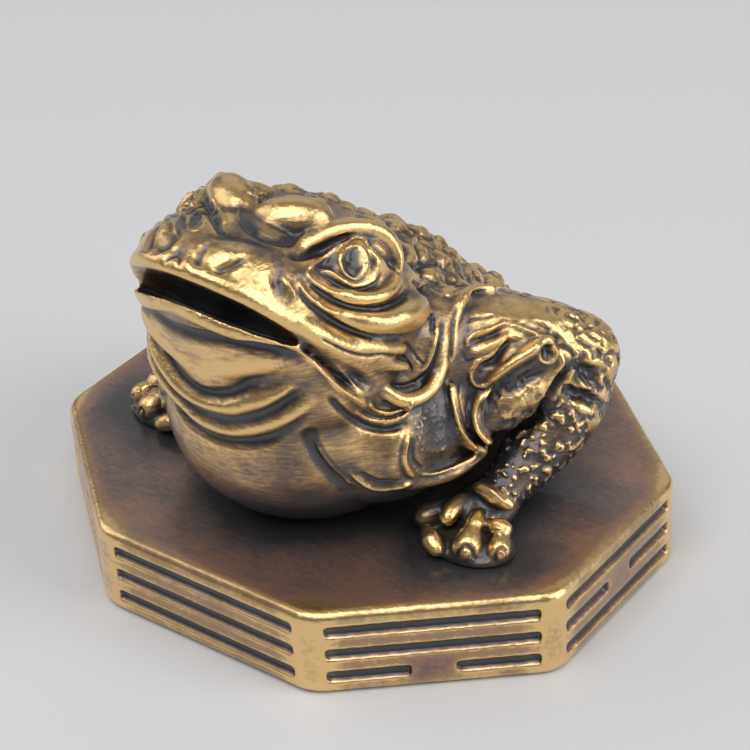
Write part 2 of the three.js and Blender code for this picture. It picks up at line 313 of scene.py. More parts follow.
# sleeve edges and the hanging lip of the flank
clay.rolls_each_side([(30.6, 4.6, 25), (29.5, 2.6, 24.4), (28.1, 0.3, 23.4), (26.4, -1.6, 21.9),
                      (24.9, -3, 19.8), (24.4, -4.6, 17), (25, -5.6, 14.2), (26.4, -4.6, 11.6)],
                     [0.8, 1.1, 1.2, 1.1, 0.9, 0.8, 0.8, 0.6])
clay.rolls_each_side([(22.8, -8, 21.5), (24.2, -9.3, 17.5), (25, -8.5, 13.5), (26.3, -6, 10.8)],
                     [0.7, 0.8, 0.8, 0.6])
clay.rolls_each_side([(20.6, -18, 18.5), (20.2, -19.4, 15), (20.6, -18.4, 11.5), (22.5, -14.5, 9.8),
                      (24.6, -9.5, 9.3), (26, -5.5, 10.3)], [0.9, 1.4, 1.4, 1.3, 1.1, 0.8])
print("rolls laid on:", len(clay.lines.splines))

# %% [markdown]
# Each front foot has a palm, a web, a bony wrist and four toes, built as separate knuckles
# and pads so that dark gaps stay between them. The right foot stands 3 mm further back. The
# one hind leg of a money toad comes out under its back.

# %% Feet
RIGHT_FOOT_BACK = 3
ROLL_VOXEL, ROLL_ROUNDS = 0.3, 5


def foot(heap, side, back):
    """One front foot, from the knuckles to the toe tips."""
    def put(point):
        return (side * point[0], point[1] + back, point[2])

    heap.ball(put((27, -6.5, 2.2)), (4.6, 5.6, 3.2))
    heap.ball(put((28.6, -13.2, 0.4)), (7, 5, 1.5))
    for points, radii in (
        ([(26.9, -8.4, 6.3), (29.4, -8.6, 6), (31.7, -8.1, 5)], [0.9, 1.3, 1.1]),
        ([(23.5, -10, 2.6), (21.4, -13.6, 2.2)], [1.8, 1.9]),
        ([(25.2, -10, 4.2), (25.2, -12.6, 4.2), (25.4, -13.9, 3.8)], [1.3, 1.4, 1.3]),
        ([(23.7, -16.4, 2.4), (25, -17.4, 1.9), (26.2, -18, 1.4)], [1.1, 1.6, 1.3]),
        ([(28.9, -11.6, 4), (29.3, -13, 3.6)], [1.1, 1.4]),
        ([(29.7, -14.9, 2.5), (30, -16, 1.9)], [2, 2.2]),
        ([(31.7, -11.5, 3.4), (33.2, -11.2, 3.3)], [1.2, 1.2]),
        ([(33.5, -12.8, 2), (33.9, -13.8, 1.6)], [1.6, 1.8]),
    ):
        heap.roll([put(p) for p in points], radii)


foot(clay, 1, 0)
foot(clay, -1, RIGHT_FOOT_BACK)
for toe in ([(-2, 30, 4), (-4.2, 32.6, 3), (-6.4, 34.4, 1.9)],
            [(0, 30.5, 4.4), (0, 33.2, 3.2), (0, 35.6, 1.9)],
            [(2, 30, 4), (4.2, 32.6, 3), (6.4, 34.4, 1.9)]):
    clay.roll(toe, [2, 1.7, 1.9])
toad = clay.skin("toad_figure", ROLL_VOXEL, ROLL_ROUNDS, onto=toad)
print("with rolls and feet:", len(toad.data.vertices), "vertices")

# %% [markdown]
# The mouth is a real opening. A flat, tipped ball is cut out of the skin.

# %% Open the mouth
MOUTH_AT = (0, -34.6, 42.6)
MOUTH_RADII = (17, 13, 1.6)
MOUTH_LIFT = 46
MOUTH_VOXEL, MOUTH_ROUNDS = 0.26, 3

mouth = bmesh.new()
stretched_ball(mouth, MOUTH_AT, MOUTH_RADII, MOUTH_LIFT, yaw=0, fineness=6)
toad = one_skin(cut_away(toad, mesh_object(mouth, "mouth_cutter")), MOUTH_VOXEL, MOUTH_ROUNDS)
print("mouth open:", len(toad.data.vertices), "vertices")

# %% [markdown]
# Finer carving is relief: each stroke raises or sinks the skin along its own normals, by a
# rounded profile around a smooth line that is first laid onto the skin. Ridges are united
# and grooves are united, so strokes may cross without piling up. Dirt settles a little wider
# than each groove, and the crest of each ridge is rubbed bare.

# %% Carving with strokes
GRIME_REACH = 1.7
FULL_GRIME = 0.8
LEAST_SPACING = 0.15
END_HEIGHT = 0.25


class Relief:
    """Ridges and grooves that wait to be carved into a skin."""

    def __init__(self, piece):
        self.piece = piece
        self.points = read_vectors(piece.data.vertices, "co")
        self.normals = read_vectors(piece.data.vertices, "normal")
        self.tree = BVHTree.FromObject(piece, bpy.context.evaluated_depsgraph_get())
        self.by_height = np.argsort(self.points[:, 2])
        self.heights = self.points[self.by_height, 2]
        self.raised, self.sunk = np.zeros((2, len(self.points)))
        # film also takes the tinted rows, which paint shade and highlights as well as film.
        self.rubbed, self.grimy, self.film = np.zeros((3, len(self.points)))
        self.strokes = 0

    def under(self, pixels):
        """The points of the skin that show at these pixels of the photograph."""
        hits = [self.tree.ray_cast(*sight(pixel))[0] for pixel in pixels]
        return [tuple(hit) for hit in hits if hit is not None]

    def laid(self, points, spacing):
        """A smooth line through the points, laid onto the skin."""
        line, _ = smooth_line(points, 0, spacing)
        return np.array([self.tree.find_nearest(p)[0] for p in line.tolist()])

    def near(self, line, reach):
        """The vertices near a line, how far each is from it, and the nearest line point."""
        low, high = line.min(axis=0) - reach, line.max(axis=0) + reach
        found = self.by_height[slice(*np.searchsorted(self.heights, (low[2], high[2])))]
        found = found[((self.points[found] > low) & (self.points[found] < high)).all(axis=1)]
        apart = self.points[found][:, None, :] - line[None, :, :]
        apart = np.sqrt(np.einsum("ijk,ijk->ij", apart, apart))
        nearest = apart.argmin(axis=1)
        distance = apart[np.arange(len(found)), nearest]
        close = distance < reach
        return found[close], distance[close], nearest[close]

    def stroke(self, points, width, height, sharp=False):
        """A ridge (height above 0) or a groove along the points, width to each side."""
        spacing = max(LEAST_SPACING, width / 4)
        line = self.laid(points, spacing)
        found, distance, nearest = self.near(line, GRIME_REACH * width)
        run = np.minimum(nearest, len(line) - 1 - nearest) * spacing
        fade = np.clip(END_HEIGHT + run / (2 * width), 0, 1)
        u = np.clip(distance / width, 0, 1)
        profile = fade * ((1 - u) ** 1.5 if sharp else (1 - u * u) ** 2)
        side, film = (self.raised, self.rubbed) if height > 0 else (self.sunk, self.grimy)
        side[found] = np.maximum(side[found], abs(height) * profile)
        u = np.clip(distance / width / GRIME_REACH, 0, 1)
        share = min(1, abs(height) / FULL_GRIME) * fade * (1 - u * u) ** 2
        film[found] = np.maximum(film[found], share)
        self.strokes += 1

    def strokes_each_side(self, points, width, height, sharp=False):
        """A stroke and its mirror image. One that crosses the middle becomes one long stroke."""
        left = [p for p in points if p[0] > 0]
        if 2 < len(left) < len(points):
            self.stroke([other_side(p) for p in left[::-1]] + left, width, height, sharp)
        else:
            self.stroke(points, width, height, sharp)
            self.stroke([other_side(p) for p in points], width, height, sharp)

    def draw(self, lines, both=True):
        """Strokes drawn in pixels: name, half width, height, pixels, and "sharp" for a keen one."""
        for name, width, height, pixels, *cut in lines:
            points = self.under(pixels)
            if len(points) < 2:
                print("this line misses the skin:", name)
            elif both:
                self.strokes_each_side(points, width, height, "sharp" in cut)
            else:
                self.stroke(points, width, height, "sharp" in cut)

    def tint_and_paint_light(self, lines, both=True):
        """Darkens or lightens the finish, as film and polish and as painted shade and highlights: name,
        half width, strength and the pixels.
        """
        for name, width, strength, pixels in lines:
            points = self.under(pixels)
            for side in (points, [other_side(p) for p in points])[:1 + both]:
                found, distance, _ = self.near(self.laid(side, 0.3 * width), width)
                self.film[found] += strength * (1 - (distance / width) ** 2)

    def carve(self):
        """Moves the skin by the strokes and smooths it a little."""
        moved = self.points + self.normals * (self.raised - self.sunk)[:, None]
        self.piece.data.vertices.foreach_set("co", moved.ravel())
        self.piece.data.update()
        smoothed(self.piece, 1)
        print("carved", self.strokes, "strokes")


def read_vectors(items, name):
    values = np.zeros(len(items) * 3, np.float32)
    items.foreach_get(name, values)
    return values.reshape(-1, 3).astype(float)


def roughen(piece, slow, slow_height, fine, fine_height):
    """Moves the skin in and out by two sizes of noise, in the piece's own units."""
    points = read_vectors(piece.data.vertices, "co")
    normals = read_vectors(piece.data.vertices, "normal")
    push = [slow_height * noise.noise(Vector(p) / slow)
            + fine_height * noise.noise(Vector(p) / fine) for p in points.tolist()]
    piece.data.vertices.foreach_set("co", (points + normals * np.array(push)[:, None]).ravel())
    piece.data.update()


print("relief tools are ready")

# %% [markdown]
# These are the folds as they are read off the photograph, region by region. Every line
# is laid onto the skin, carved, and repeated on the other side of the figure. Only what the
# photograph shows of the far eye and forehead bump is drawn once, since it isn't a mirror
# image of the near side. Slow noise comes first, since no cast skin is perfectly fair.

# %% Folds of the head, throat, flank and arm
EYE_LINES = (
    ("eye socket, under the brow", 0.9, -0.9, ((291, 257), (303, 256), (316, 252), (330, 246),
        (342, 240), (352, 236))),
    ("eye socket, behind the eye", 1, -1.1, ((368, 240), (377, 247), (386, 256), (393, 265))),
    ("upper lid", 0.32, 0.5, ((308, 269), (314, 264), (322, 259), (330, 253), (338, 247), (347, 241),
        (356, 237), (363, 239), (368, 246))),
    ("upper lid tail", 0.25, 0.25, ((368, 248), (374, 254), (379, 259), (383, 264))),
    ("eyeball in front of iris", 1.2, -0.6, ((318, 267), (326, 264), (335, 260))),
    ("eyeball behind iris", 0.7, -0.5, ((371, 255), (374, 263), (373, 271))),
    ("iris ring", 0.36, 0.5, ((345, 249), (341, 256), (340.5, 264), (343, 271), (348, 276), (355, 279),
        (361, 276), (365, 269), (366, 260), (364, 252), (359, 247), (352, 246), (346, 248))),
    ("pupil", 1.8, -1, ((352, 246), (351.5, 262), (355, 276))),
    ("lower lid", 0.55, 0.55, ((320, 270), (329, 273), (338, 278), (347, 283), (356, 285), (365, 283),
        (372, 279), (377, 273))),
    ("under the lower lid", 0.42, -0.5, ((321, 274), (330, 279), (340, 285), (350, 289), (361, 289),
        (371, 286), (378, 281), (382, 274)), "sharp"),
    ("first fold", 0.4, 0.4, ((307, 269), (308, 276), (314, 283), (322, 288), (332, 292), (342, 295))),
    ("first bag", 1.25, 0.7, ((338, 294), (348, 296), (360, 298), (372, 298), (383, 295), (392, 289),
        (398, 281))),
    ("under the first bag", 0.6, -0.5, ((310, 282), (318, 290), (328, 297), (340, 303), (352, 307),
        (365, 309), (378, 309), (391, 305), (402, 298), (409, 289))),
    ("second fold", 0.4, 0.4, ((300, 284), (303, 291), (310, 299), (320, 306), (330, 311), (342, 315))),
    ("under the cheek", 0.7, -0.45, ((300, 290), (307, 300), (317, 310), (328, 318), (341, 325),
        (355, 331), (370, 335), (386, 336), (400, 335))),
    ("cheek roll", 2.1, 0.6, ((342, 316), (355, 319), (368, 321), (382, 321), (396, 319), (409, 313),
        (420, 304))),
    ("behind the cheek", 0.6, -0.5, ((412, 282), (422, 290), (430, 303), (433, 318),
        (431, 334)), "sharp"),
    ("thin lip fold", 0.35, -0.75, ((322, 339), (333, 345), (345, 351), (358, 355), (371, 356),
        (385, 355), (396, 356)), "sharp"),
    ("end fold 1", 0.35, -0.55, ((397, 355), (403, 357), (408, 363), (412, 370)), "sharp"),
    ("end fold 2", 0.35, -0.5, ((402, 343), (409, 346), (414, 353), (419, 360), (424, 364)), "sharp"),
)
SNOUT_LINES = (
    ("edge of the snout", 1, -0.3, ((205, 236), (222, 237), (240, 239), (258, 244), (276, 251))),
    ("in front of the nostril", 1, -0.4, ((212, 243), (203, 250), (198, 260), (199, 269))),
    ("nostril pod", 2.2, 0.5, ((216, 259), (226, 253), (238, 249))),
    ("below the nostril", 0.9, -0.45, ((209, 271), (220, 271), (232, 266), (246, 258))),
    ("nose ridge", 0.9, 0.3, ((187, 268), (190, 256), (198, 246))),
    ("nose slot", 0.5, -0.3, ((180, 254), (179, 262), (178, 268))),
    ("hollow before the eye", 1.5, -0.55, ((278, 268), (277, 280), (280, 292), (285, 299))),
    ("fold in the hollow", 0.35, 0.4, ((284, 279), (289, 286), (293, 293), (294, 301))),
    ("knob of the brow", 0.5, 0.4, ((284, 252), (287, 253))),
    ("under the near bump", 1.5, -0.8, ((246, 218), (252, 230), (266, 238), (284, 241), (298, 236))),
)
FAR_LINES = (
    ("left edge of the facet", 0.4, 0.6, ((213, 196), (217, 206), (222, 216), (226, 226))),
    ("facet", 1.4, 0.4, ((228, 212), (231, 222), (232, 230))),
    ("right edge of the facet", 0.3, 0.35, ((239, 209), (237, 218), (236, 226))),
    ("left of the facet", 0.8, -0.7, ((209, 206), (213, 218), (219, 228), (224, 236))),
    ("strand 1", 0.3, 0.3, ((240, 181), (252, 188), (266, 194))),
    ("strand 2", 0.3, 0.3, ((243, 190), (255, 196), (266, 199))),
    ("far lid, outer", 0.5, 0.4, ((163, 236), (164, 225), (170, 215), (182, 209), (196, 206))),
    ("far lid", 0.4, 0.4, ((176, 234), (174, 225), (180, 215), (191, 209), (204, 204))),
    ("far eyeball", 1.6, -0.5, ((188, 228), (194, 220), (203, 212))),
    ("far iris", 0.3, 0.3, ((186, 224), (190, 216), (198, 212), (204, 217), (203, 226), (196, 231),
        (188, 229), (186, 224))),
)
NAPE_LINES = (
    ("lump behind the brow", 1.9, 1.1, ((416, 244), (420, 250), (422, 256))),
    ("ridge behind the brow", 0.6, 0.6, ((415, 238), (411, 247), (409, 257), (407, 262))),
    ("upper lump", 1.3, 0.9, ((420, 231), (428, 235), (434, 242), (438, 250))),
    ("lower lump", 1.6, 1, ((432, 272), (438, 277), (441, 284))),
    ("lower ridge", 0.5, 0.6, ((419, 286), (424, 284), (430, 285))),
    ("hind lump", 1.6, 0.7, ((445, 258), (454, 262), (460, 270))),
    ("top lump", 1.8, 0.8, ((350, 205), (358, 208))),
    ("gap behind the brow", 1, -0.8, ((404, 250), (407, 260), (412, 266), (420, 267), (427, 264))),
    ("gap above the cheek", 0.8, -0.5, ((416, 286), (421, 291), (428, 294))),
    ("gap under the hind lump", 0.8, -0.5, ((434, 263), (440, 266), (446, 270))),
)
THROAT_LINES = (
    ("throat roll 1", 2.6, 0.7, ((165, 345), (172, 358), (186, 368), (206, 372), (230, 371), (256, 366),
        (285, 360))),
    ("throat roll 2", 1.6, 0.7, ((163, 362), (172, 378), (184, 393), (202, 405), (226, 408), (250, 404),
        (275, 395), (297, 382))),
    ("throat roll 3", 1.6, 0.6, ((172, 396), (185, 412), (200, 422), (220, 430), (242, 431), (265, 427),
        (290, 416), (310, 402))),
    ("throat 1", 1.5, -0.75, ((160, 340), (167, 358), (178, 374), (192, 387), (208, 394), (226, 394),
        (243, 388), (260, 378))),
    ("throat 2", 1.5, -0.75, ((165, 378), (175, 394), (189, 407), (206, 417), (225, 421), (245, 420),
        (264, 415), (285, 403), (303, 388))),
    ("throat 3", 1.4, -0.6, ((182, 414), (195, 426), (212, 436), (232, 441), (252, 442), (270, 438),
        (288, 430), (305, 418))),
    ("under the lower lip", 1.7, -0.65, ((163, 318), (176, 328), (195, 334), (215, 338), (240, 343),
        (265, 348), (288, 354), (308, 362))),
    ("corner of the mouth", 1, -1.8, ((304, 348), (316, 357), (326, 365), (341, 378), (356, 390))),
)
FLANK_LINES = (
    ("belly behind the throat", 1.5, -0.9, ((309, 432), (314, 448), (322, 462), (334, 476),
        (348, 488))),
    ("flank edge", 0.6, 0.45, ((316, 444), (325, 459), (337, 473), (352, 485))),
    ("flank lower ridge", 0.55, 0.55, ((351, 472), (360, 480), (370, 486), (385, 488), (400, 486),
        (412, 482))),
    ("above the lower ridge", 0.6, -0.45, ((360, 472), (371, 479), (384, 482), (398, 481))),
    ("lip C", 0.65, 0.7, ((408, 434), (405, 446), (404, 458), (407, 469), (414, 477))),
    ("lip C inner", 0.5, -0.5, ((413, 440), (413, 452), (416, 463), (423, 469)), "sharp"),
    ("panel rim", 0.35, 0.5, ((420, 474), (435, 473), (450, 469), (462, 464), (472, 459), (478, 451))),
    ("panel", 3.2, -0.9, ((436, 402), (438, 420), (440, 440), (442, 452))),
    ("panel low", 2.2, -0.6, ((424, 455), (440, 460), (456, 455))),
    ("mouth corner flap", 0.75, 0.7, ((318, 364), (328, 375), (338, 386), (350, 394), (360, 401),
        (366, 406))),
    ("mouth corner hollow", 1.5, -1.4, ((345, 372), (358, 380), (372, 386))),
    ("second collar fold", 0.4, 0.5, ((368, 403), (378, 411), (390, 413), (402, 409), (412, 402))),
    ("third collar fold", 0.35, 0.35, ((355, 411), (367, 418), (380, 421), (393, 420), (405, 415),
        (414, 406))),
    ("between the collar folds", 0.35, -0.4, ((362, 411), (372, 417), (384, 418), (397, 416),
        (408, 409)), "sharp"),
    ("under the third fold", 0.8, -0.7, ((330, 398), (343, 412), (357, 422), (372, 428), (390, 429),
        (404, 424))),
    ("inner collar", 0.45, 0.4, ((438, 326), (435, 342), (430, 358), (423, 371))),
    ("before the collar", 0.5, -0.6, ((443, 322), (440, 340), (436, 356), (428, 372), (416, 382),
        (403, 386), (391, 385)), "sharp"),
    ("collar pit", 1, -1.2, ((472, 296), (481, 292), (489, 289))),
)
FOOT_LINES = (
    ("middle nail", 0.45, -0.5, ((457, 560), (458, 551), (465, 545), (472, 549), (475, 560))),
    ("middle claw", 0.5, 0.3, ((465, 550), (466, 558))),
    ("outer nail", 0.35, -0.4, ((494, 562), (496, 552), (502, 548), (508, 553), (508, 562))),
    ("outer claw", 0.25, 0.3, ((498, 555), (501, 551), (504, 555), (501, 559), (498, 555))),
    ("knuckle rib 1", 0.25, 0.3, ((489, 531), (495, 527), (503, 530))),
    ("knuckle rib 2", 0.25, 0.3, ((489, 535), (496, 532), (503, 535))),
    ("knuckle rib 3", 0.25, 0.3, ((490, 520), (497, 518), (505, 521))),
    ("wrist crest", 0.4, 0.35, ((476, 485), (490, 490), (499, 498), (506, 505))),
)
ARM_LINES = (
    ("almond ridge", 0.3, 0.4, ((467, 346), (468, 340), (476, 333), (488, 330), (498, 325),
        (507, 322))),
    ("almond", 0.75, -0.9, ((473, 343), (482, 339), (493, 335), (503, 329))),
    ("almond fold", 0.6, 0.5, ((470, 351), (480, 350), (491, 345), (500, 339), (508, 334))),
    ("second recess", 0.9, -1, ((477, 374), (484, 367), (494, 361), (501, 352), (510, 343),
        (518, 342))),
    ("second recess ridge", 0.3, 0.4, ((470, 369), (476, 362), (486, 358), (495, 352), (500, 345),
        (508, 337))),
    ("sleeve roll end", 0.5, 0.5, ((471, 372), (472, 380), (478, 386), (487, 384))),
    ("sleeve roll", 0.9, 0.7, ((487, 383), (500, 372), (515, 361), (530, 352), (544, 341))),
    ("under the sleeve roll", 0.6, -0.6, ((476, 392), (490, 388), (503, 379), (517, 369), (532, 359),
        (544, 349)), "sharp"),
    ("sleeve edge 1", 0.35, 0.55, ((451, 386), (453, 403), (457, 419), (463, 434), (471, 444),
        (478, 450))),
    ("sleeve groove", 0.45, -0.6, ((458, 384), (459, 402), (463, 419), (469, 434),
        (476, 444)), "sharp"),
    ("sleeve edge 3", 0.5, 0.6, ((497, 382), (486, 393), (477, 403), (474, 415), (477, 429), (484, 438),
        (491, 444))),
    ("sleeve groove 2", 0.3, -0.4, ((470, 398), (467, 412), (470, 427), (478, 439)), "sharp"),
    ("collar shadow", 0.6, -0.5, ((457, 305), (454, 322), (452, 342), (450, 362))),
    ("shoulder ripple 1", 0.3, -0.3, ((466, 322), (480, 318), (494, 316)), "sharp"),
    ("shoulder ripple 2", 0.3, -0.3, ((462, 352), (467, 360), (476, 358)), "sharp"),
    ("shoulder edge", 0.5, 0.4, ((511, 324), (523, 329), (535, 334), (548, 338))),
    ("arm crease", 1.4, -1.8, ((570, 366), (563, 376), (556, 388), (548, 399), (538, 410), (527, 421),
        (512, 430), (497, 434))),
    ("elbow hollow", 2.2, -1.6, ((574, 372), (584, 378), (592, 388))),
    ("inner arm", 3, 0.8, ((508, 408), (520, 400), (533, 391))),
    ("inner arm bead", 0.7, 0.6, ((519, 421), (522, 419))),
    ("inner arm bead 2", 0.9, 0.5, ((534, 408), (537, 404))),
    ("elbow pit 1", 0.9, -0.8, ((551, 334), (556, 338), (561, 343))),
    ("elbow groove 1", 0.5, -0.6, ((558, 344), (566, 347), (572, 352), (574, 360))),
    ("elbow groove 2", 0.5, -0.55, ((575, 338), (583, 344), (590, 348))),
    ("elbow groove 3", 0.5, -0.5, ((597, 346), (600, 353), (601, 360))),
    ("elbow groove 4", 0.4, -0.4, ((538, 322), (545, 326), (552, 330))),
    ("elbow pit 2", 1.1, -1, ((544, 345), (547, 352), (545, 358))),
    ("elbow pit ring", 0.45, 0.5, ((538, 356), (544, 362), (552, 361), (556, 352), (552, 343))),
    ("elbow ridge", 0.8, 0.6, ((559, 352), (562, 362), (560, 374), (553, 384))),
    ("elbow hollow 3", 1.5, -1.6, ((576, 363), (583, 369), (590, 373), (600, 372))),
    ("elbow patch", 0.8, 0.8, ((577, 378), (583, 385), (590, 390))),
    ("elbow hollow 4", 1.6, -1.5, ((562, 388), (574, 394), (588, 397), (597, 404))),
    ("elbow side pit", 0.8, -0.8, ((604, 376), (606, 384))),
    ("inner arm worm", 0.35, 0.5, ((522, 376), (526, 384), (533, 388), (541, 386))),
    ("inner arm hollow", 1.4, -0.7, ((512, 390), (522, 382), (533, 375), (543, 368))),
    ("elbow hollow 2", 1.6, -1, ((560, 392), (575, 396), (588, 400))),
)

roughen(toad, slow=3.2, slow_height=0.09, fine=1.1, fine_height=0.02)
relief = Relief(toad)
for lines in (EYE_LINES, SNOUT_LINES, NAPE_LINES, THROAT_LINES, FLANK_LINES, FOOT_LINES,
              ARM_LINES):
    relief.draw(lines)
relief.draw(FAR_LINES, both=False)
print("strokes drawn:", relief.strokes)

# %% [markdown]
# The caster darkened the whole figure and then polished it by hand, more in some places than
# the shape alone explains. These broad strokes carve nothing. They only tell the finish where
# the film is thicker (above 0) or thinner. Partly this is that real film and polish; partly
# it is painted light: the darkening rows under the brow, the lips and the belly, around the
# eye and inside the elbow paint shade, and the lightening rows on the brow, bumps, lumps,
# rolls, snout side and toe paint highlights.

# %% Where the film is thick or thin, with painted shade and highlights
FILM_SHADE_AND_HIGHLIGHT_LINES = (
    ("before the near bump", 2.4, 1.3, ((243, 214), (252, 232), (270, 243), (290, 246))),
    ("front of the near bump", 1.4, 1, ((264, 230), (285, 234), (305, 228))),
    ("behind the near bump", 1.6, 0.5, ((322, 203), (334, 212), (342, 219))),
    ("side of the far bump", 2, 0.7, ((243, 184), (252, 192), (260, 201))),
    ("pupil", 1.7, 2, ((352, 252), (351.5, 262), (353, 270))),
    ("front of the eyeball", 1.3, 1.6, ((318, 268), (328, 263), (335, 258))),
    ("back of the eyeball", 0.9, 1, ((371, 255), (376, 264), (378, 270))),
    ("corner of the mouth", 1.4, 1.6, ((302, 344), (316, 357), (330, 369), (345, 381))),
    ("between the eye folds", 0.8, 1.2, ((316, 285), (326, 292), (338, 299), (350, 304))),
    ("under the eye folds", 1.1, 1.2, ((303, 294), (314, 306), (330, 317), (350, 326))),
    ("above the eyeball", 0.8, 0.8, ((368, 240), (378, 250), (388, 262))),
    ("lumps behind the brow", 1.2, -0.8, ((416, 244), (420, 250), (422, 256))),
    ("upper lump", 0.9, -0.8, ((420, 231), (428, 235), (434, 242), (438, 250))),
    ("lower lump", 1, -0.9, ((432, 272), (438, 277), (441, 284))),
    ("behind the brow", 1.5, 1, ((402, 240), (404, 256), (412, 268), (428, 266))),
    ("above the cheek", 1.4, 1, ((416, 284), (425, 294), (438, 297))),
    ("before the eye", 1.6, 1, ((278, 268), (278, 280), (282, 294))),
    ("between snout and brow", 2.2, 1.6, ((258, 247), (272, 253), (288, 262), (300, 270))),
    ("under the brow", 1.2, 0.6, ((290, 256), (310, 254), (330, 246), (350, 238))),
    ("hollow of the flank", 4.5, 1.1, ((436, 400), (440, 430), (442, 455))),
    ("behind the cheek", 1.6, 1, ((420, 290), (435, 310), (440, 340), (430, 365))),
    ("inside the collar", 2, 0.5, ((458, 300), (466, 330), (460, 360))),
    ("inside the elbow", 2.2, 1.2, ((500, 440), (525, 420), (548, 398), (566, 370))),
    ("elbow hollows", 2.4, 1, ((576, 368), (590, 384), (596, 400))),
    ("inside of the forearm", 3, 1, ((500, 448), (498, 470), (490, 482))),
    ("front of the forearm", 3, 0.25, ((545, 422), (525, 448), (508, 474))),
    ("around the inner arm", 1.6, 1.2, ((492, 400), (492, 418), (502, 428), (520, 424))),
    ("above the inner arm", 1.8, 1.2, ((510, 384), (525, 374), (545, 362), (560, 352))),
    ("under the upper lip", 1, 1.2, ((165, 272), (200, 287), (240, 303), (275, 322), (295, 335))),
    ("face of the lower lip", 0.9, 0.5, ((150, 308), (180, 321), (210, 331), (245, 340), (280, 347))),
    ("under the lower lip", 1.8, 0.8, ((165, 322), (195, 338), (240, 347), (290, 358))),
    ("left of the belly", 5, -0.5, ((190, 440), (215, 470), (240, 490))),
    ("front of the flank", 1.6, 0.9, ((309, 432), (318, 455), (334, 476), (348, 488))),
    ("under the belly", 4, 0.2, ((250, 508), (300, 520), (350, 510), (400, 492))),
    ("palm", 1.8, 0.8, ((448, 506), (470, 502), (495, 515))),
    ("snout side", 2.6, -0.9, ((195, 275), (220, 280), (245, 285), (262, 276))),
    ("upper lip", 2, -0.8, ((262, 298), (290, 312), (320, 330), (345, 342))),
    ("brow", 1.3, -0.7, ((295, 245), (315, 233), (335, 226), (355, 224), (375, 230), (388, 242))),
    ("top of the near bump", 2, -0.7, ((262, 212), (285, 205), (303, 203))),
    ("left of the far bump", 2, -0.6, ((217, 205), (224, 192), (232, 180))),
    ("cheek roll", 1.6, -0.7, ((350, 318), (375, 321), (400, 315))),
    ("end of the cheek roll", 1.5, -0.8, ((398, 332), (410, 330), (421, 325))),
    ("throat roll 1", 2.8, -0.9, ((175, 352), (200, 360), (230, 364), (255, 362))),
    ("throat roll 2", 1.4, -0.5, ((180, 386), (205, 402), (230, 405), (255, 400))),
    ("throat roll 3", 1.4, -0.5, ((190, 418), (215, 430), (242, 432), (268, 427))),
    ("shoulder crest", 1.8, -0.8, ((500, 335), (530, 345), (560, 350), (595, 345))),
    ("flank", 2.4, -0.6, ((328, 438), (345, 446), (360, 452))),
    ("inner arm", 1.8, -0.6, ((505, 410), (520, 400), (532, 393))),
    ("lower lip", 1, -0.7, ((180, 312), (210, 324), (240, 331), (270, 337))),
    ("middle toe", 1.8, -1, ((473, 518), (466, 540))),
)

FAR_FILM_SHADE_AND_HIGHLIGHT = (
    ("far eye", 2.6, 1.3, ((176, 230), (190, 222), (204, 212))),
    ("left of the facet", 1.2, 0.8, ((212, 212), (218, 226), (224, 234))),
    ("nose", 2, 1, ((150, 250), (165, 252), (180, 250))),
    ("facet", 1.2, 0.3, ((230, 215), (232, 230))),
    ("behind the snout", 2.2, 1.3, ((196, 236), (215, 239), (235, 238), (246, 226))),
    ("right foot", 4, 0.7, ((133, 380), (143, 400), (152, 420))),
)

relief.tint_and_paint_light(FILM_SHADE_AND_HIGHLIGHT_LINES)
relief.tint_and_paint_light(FAR_FILM_SHADE_AND_HIGHLIGHT, both=False)
print("parts with their own film:", len(FILM_SHADE_AND_HIGHLIGHT_LINES) + len(FAR_FILM_SHADE_AND_HIGHLIGHT))

# %% [markdown]
# A toad's back is all warts, from grains to peas. They are scattered with a fixed seed over
# a region of the skin, never closer than a given distance, and each is a dome whose outline
# wobbles. A crust is noise that is cut off to flat-topped clumps with a net of pits between
# them. It covers the forearms, elbows and inner arms, roughens the sunken panel of the flank,
# and fills the gaps between the warts. Each crust has a weight over the skin, a size of clump,
# a height, and a share that makes the clumps wider. Then everything is carved at once.

# %% Warts and crust
MOST_TRIES = 5000
BIG_WARTS = {"apart": 4.6, "radius": (1.5, 2.4), "height": 0.5, "seed": 1}
SMALL_WARTS = {"apart": 2.6, "radius": (0.7, 1.2), "height": 0.5, "seed": 3}
WART_REACH = 1.3
WOBBLE, WOBBLE_PITCH = 0.6, 0.9
WART_RUB = 1.2
WARTY_FILM = 0.35
CRUST_RUB, CRUST_GRIME = 0.6, 0.7
RUBBED_SHARE = 0.5
LEAST_FILM, MOST_FILM = -1, 2
PANEL_PIXEL = (438, 430)
INNER_ARM_PIXEL = (522, 404)


def scattered(points, inside, apart, seed):
    """Numbers of random points inside a region, at least so far apart."""
    order = np.random.default_rng(seed).permutation(np.flatnonzero(inside))
    chosen = []
    for i in order[:MOST_TRIES]:
        if not chosen or np.linalg.norm(points[chosen] - points[i], axis=1).min() > apart:
            chosen.append(i)
    return chosen


def warts(relief, inside, apart, radius, height, seed):
    """Domes of random size between the two radii, on a region."""
    rng = np.random.default_rng(seed)
    chosen = scattered(relief.points, inside, apart, seed)
    for i in chosen:
        size = rng.uniform(*radius)
        found, distance, _ = relief.near(relief.points[i][None, :], WART_REACH * size)
        wobble = [noise.noise(Vector(p) * WOBBLE_PITCH) for p in relief.points[found].tolist()]
        u = np.clip(distance / size * (1 + WOBBLE * np.array(wobble)), 0, 1)
        dome = height * size * (1 - u * u) ** 1.2
        relief.raised[found] = np.maximum(relief.raised[found], dome)
        relief.rubbed[found] = np.maximum(relief.rubbed[found], WART_RUB * (1 - u * u))
    return len(chosen)


